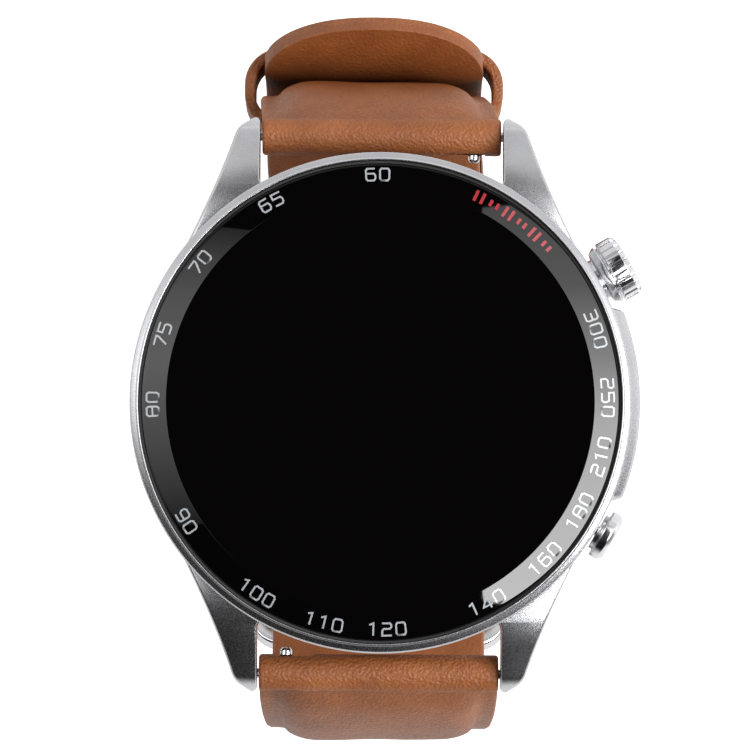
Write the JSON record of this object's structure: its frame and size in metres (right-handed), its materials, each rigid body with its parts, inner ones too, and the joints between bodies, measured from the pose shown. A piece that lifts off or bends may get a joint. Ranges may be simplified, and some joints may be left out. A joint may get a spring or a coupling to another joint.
{
  "type": "smartwatch",
  "caption": "Round smartwatch with a metal lugged case, bevelled glass, fluted crown, side pusher and buckled padded leather strap.",
  "frame": {"origin": "centre of the flat sensor window on the case back, which rests on the wrist", "axes": "+Z out of the glass, +Y to the 12 o'clock lugs, +X to the crown side"},
  "size_m": [0.0462, 0.0673, 0.063],
  "materials": {
    "blasted_case": "bead-blasted, satin",
    "polished_metal": "polished",
    "inner_steel": "machined",
    "black_glass": "polished black glass",
    "seal_rubber": "matt",
    "black_plastic": "moulded",
    "circuit_board": "solder mask",
    "battery_foil": "foil pouch",
    "contact_gold": "gold plated",
    "brown_leather": "pebbled, semi-matt",
    "leather_lining": "smooth, matt"
  },
  "bodies": {
    "case": {"mid_case": "blasted_case", "bezel_ring": "blasted_case", "cover_glass": "black_glass", "glass_gasket": "seal_rubber", "display_panel": "black_glass", "inner_frame": "black_plastic", "main_board": "circuit_board", "battery": "battery_foil", "vibration_motor": "inner_steel", "speaker": "black_plastic", "sensor_board": "circuit_board", "rear_cover": "inner_steel", "sensor_window": "black_glass", "rear_gasket": "seal_rubber", "charging_contact_a": "contact_gold", "charging_contact_b": "contact_gold", "case_back_screw_1": "inner_steel", "case_back_screw_2": "inner_steel", "case_back_screw_3": "inner_steel", "case_back_screw_4": "inner_steel", "crown_tube": "inner_steel", "crown_switch": "black_plastic", "pusher_tube": "inner_steel", "pusher_spring": "inner_steel", "pusher_switch": "black_plastic"},
    "crown_slider": {"crown_push_plate": "inner_steel"},
    "crown": {"crown_cap": "polished_metal", "crown_shaft": "inner_steel", "crown_o_ring": "seal_rubber", "crown_clip": "inner_steel"},
    "pusher": {"pusher_cap": "polished_metal", "pusher_o_ring": "seal_rubber", "pusher_clip": "inner_steel"},
    "strap_12_root": {"strap_12_upper_root": "brown_leather", "strap_12_lining_root": "leather_lining", "spring_bar_12_tube": "inner_steel", "spring_bar_12_fixed_pin": "inner_steel", "spring_bar_12_coil": "inner_steel"},
    "release_12": {"spring_bar_12_release_pin": "polished_metal"},
    "strap_back": {"strap_12_upper": "brown_leather", "strap_12_lining": "leather_lining", "strap_6_upper": "brown_leather", "strap_6_lining": "leather_lining", "buckle_bar": "inner_steel", "fixed_keeper": "brown_leather"},
    "buckle": {"buckle_frame": "polished_metal"},
    "tang": {"buckle_tang": "polished_metal"},
    "keeper": {"free_keeper": "brown_leather"},
    "strap_6_root": {"strap_6_upper_root": "brown_leather", "strap_6_lining_root": "leather_lining", "spring_bar_6_tube": "inner_steel", "spring_bar_6_fixed_pin": "inner_steel", "spring_bar_6_coil": "inner_steel"},
    "release_6": {"spring_bar_6_release_pin": "polished_metal"}
  },
  "joints": [
    {"name": "crown_press", "type": "slide", "parent": "case", "child": "crown_slider", "axis": [-0.866, -0.5, 0], "range_m": [0, 0.00035], "stiffness_N_per_m": 4000, "springref_m": -0.0002},
    {"name": "crown_turn", "type": "hinge", "parent": "crown_slider", "child": "crown", "pos_m": [0, 0, 0.0056], "axis": [0.866, 0.5, 0], "continuous": true},
    {"name": "pusher_press", "type": "slide", "parent": "case", "child": "pusher", "axis": [-0.866, 0.5, 0], "range_m": [0, 0.0004], "stiffness_N_per_m": 4000, "springref_m": -0.0002, "deforming": ["pusher_spring"]},
    {"name": "strap_12_hinge", "type": "hinge", "parent": "case", "child": "strap_12_root", "pos_m": [0, 0.02443, 0.0032], "axis": [1, 0, 0], "range_deg": [-8, 8], "stiffness_Nm_per_rad": 0.15},
    {"name": "release_12_slide", "type": "slide", "parent": "strap_12_root", "child": "release_12", "axis": [-1, 0, 0], "range_m": [0, 0.0015], "stiffness_N_per_m": 400, "springref_m": -0.0008, "deforming": ["spring_bar_12_coil"]},
    {"name": "strap_12_flex", "type": "hinge", "parent": "strap_12_root", "child": "strap_back", "pos_m": [0, 0.02849, -0.00816], "axis": [1, 0, 0], "range_deg": [-7.5, 7.5]},
    {"name": "buckle_swing", "type": "hinge", "parent": "strap_back", "child": "buckle", "pos_m": [0, -0.01149, -0.04503], "axis": [1, 0, 0], "range_deg": [0, 3]},
    {"name": "tang_lift", "type": "hinge", "parent": "buckle", "child": "tang", "pos_m": [0, -0.01149, -0.04503], "axis": [1, 0, 0], "range_deg": [0, 3]},
    {"name": "keeper_slide", "type": "hinge", "parent": "strap_back", "child": "keeper", "pos_m": [0, -0.0015, -0.016], "axis": [-1, 0, 0], "range_deg": [0, 20]},
    {"name": "strap_6_flex", "type": "hinge", "parent": "strap_back", "child": "strap_6_root", "pos_m": [0, -0.02849, -0.00816], "axis": [1, 0, 0], "range_deg": [-7.5, 7.5]},
    {"name": "release_6_slide", "type": "slide", "parent": "strap_6_root", "child": "release_6", "axis": [1, 0, 0], "range_m": [0, 0.0015], "stiffness_N_per_m": 400, "springref_m": -0.0008, "deforming": ["spring_bar_6_coil"]}
  ],
  "couplings": [
    {"joint": "strap_12_flex", "follows": "strap_12_hinge", "ratio": -0.85738},
    {"joint": "strap_6_flex", "follows": "strap_12_hinge", "ratio": 0.85738}
  ]
}
